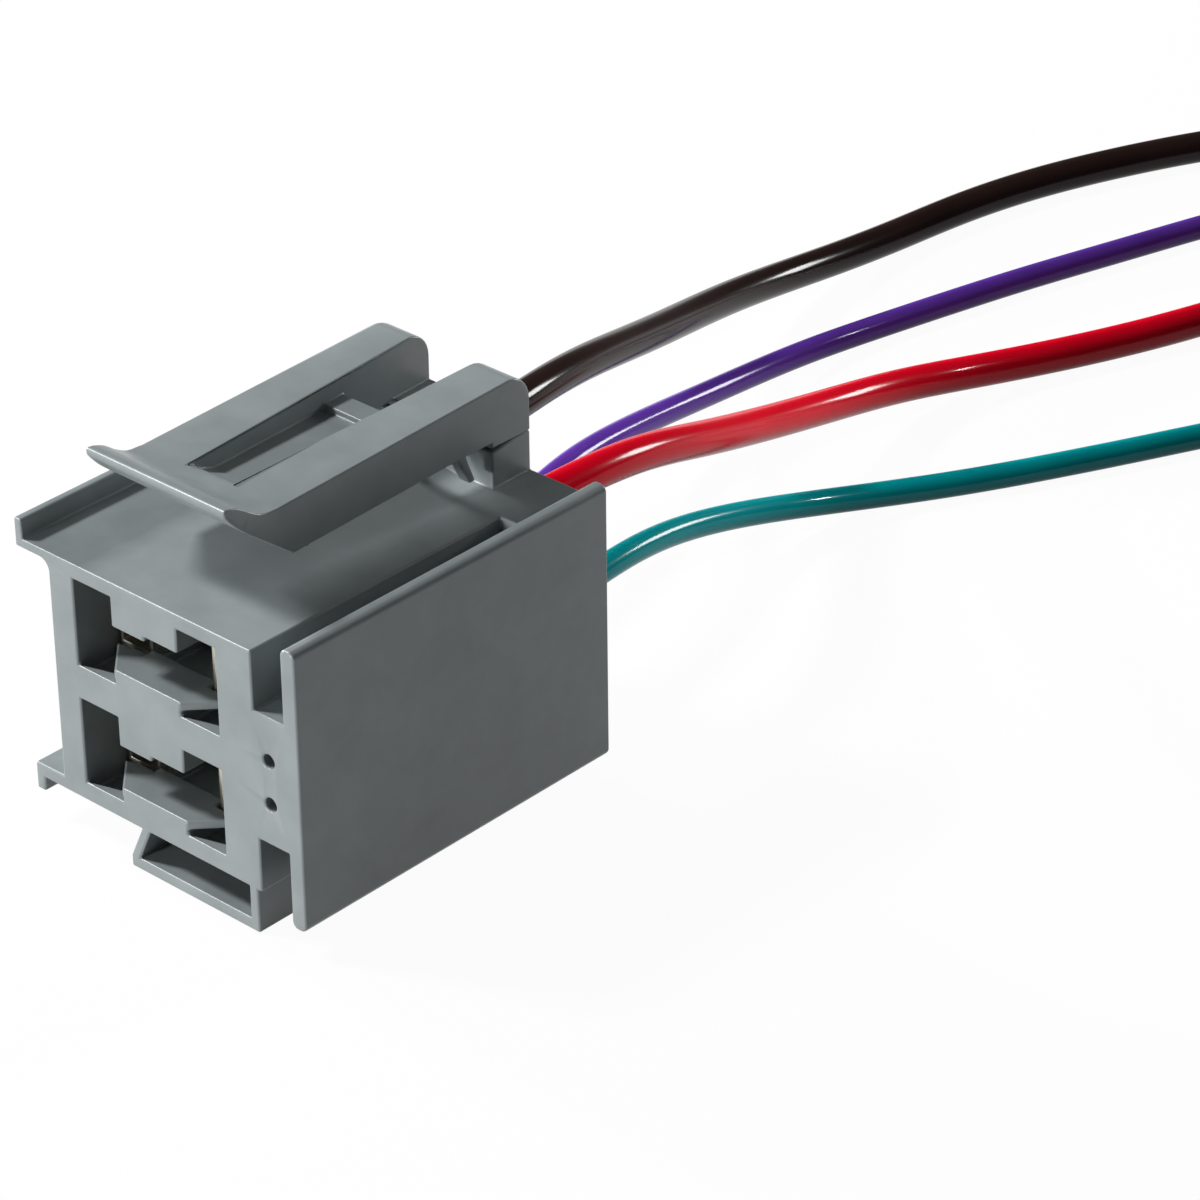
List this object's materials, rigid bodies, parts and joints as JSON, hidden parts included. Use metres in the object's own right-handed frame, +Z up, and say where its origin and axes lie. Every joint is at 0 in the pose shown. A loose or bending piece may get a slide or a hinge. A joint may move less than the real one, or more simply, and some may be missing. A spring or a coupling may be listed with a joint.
{
  "type": "trailer wiring connector",
  "caption": "Slate-grey moulded plug housing with open terminal slots, a press-down latch arm on top and loose insulated wires trailing from the back.",
  "frame": {"origin": "on the ground under the middle of the housing's bounding box; the foot's underside is z = 0", "axes": "+X to the right seen from the open slot ends, towards the side panel; +Y from the slot mouths to the end the wires leave; +Z up, towards the latch arm"},
  "size_m": [0.0847, 0.2421, 0.0445],
  "materials": {
    "moulded_nylon": "satin",
    "tinned_brass": "satin",
    "spring_steel": "satin",
    "bare_copper": "bright",
    "black_insulation": "gloss",
    "red_insulation": "gloss",
    "purple_insulation": "gloss",
    "teal_insulation": "gloss"
  },
  "bodies": {
    "body": {"housing": "moulded_nylon", "terminal_black": "tinned_brass", "contact_spring_black": "spring_steel", "strands_crimped_black": "bare_copper", "wire_black": "black_insulation", "bare_end_black": "bare_copper", "terminal_red": "tinned_brass", "contact_spring_red": "spring_steel", "strands_crimped_red": "bare_copper", "wire_red": "red_insulation", "bare_end_red": "bare_copper", "terminal_purple": "tinned_brass", "contact_spring_purple": "spring_steel", "strands_crimped_purple": "bare_copper", "wire_purple": "purple_insulation", "bare_end_purple": "bare_copper", "terminal_teal": "tinned_brass", "contact_spring_teal": "spring_steel", "strands_crimped_teal": "bare_copper", "wire_teal": "teal_insulation", "bare_end_teal": "bare_copper"},
    "latch": {"latch_arm": "moulded_nylon"}
  },
  "joints": [
    {"name": "latch_flex", "type": "hinge", "parent": "body", "child": "latch", "pos_m": [-0.0004, 0.0195, 0.0364], "axis": [1, 0, 0], "range_deg": [0, 6], "stiffness_Nm_per_rad": 6}
  ]
}
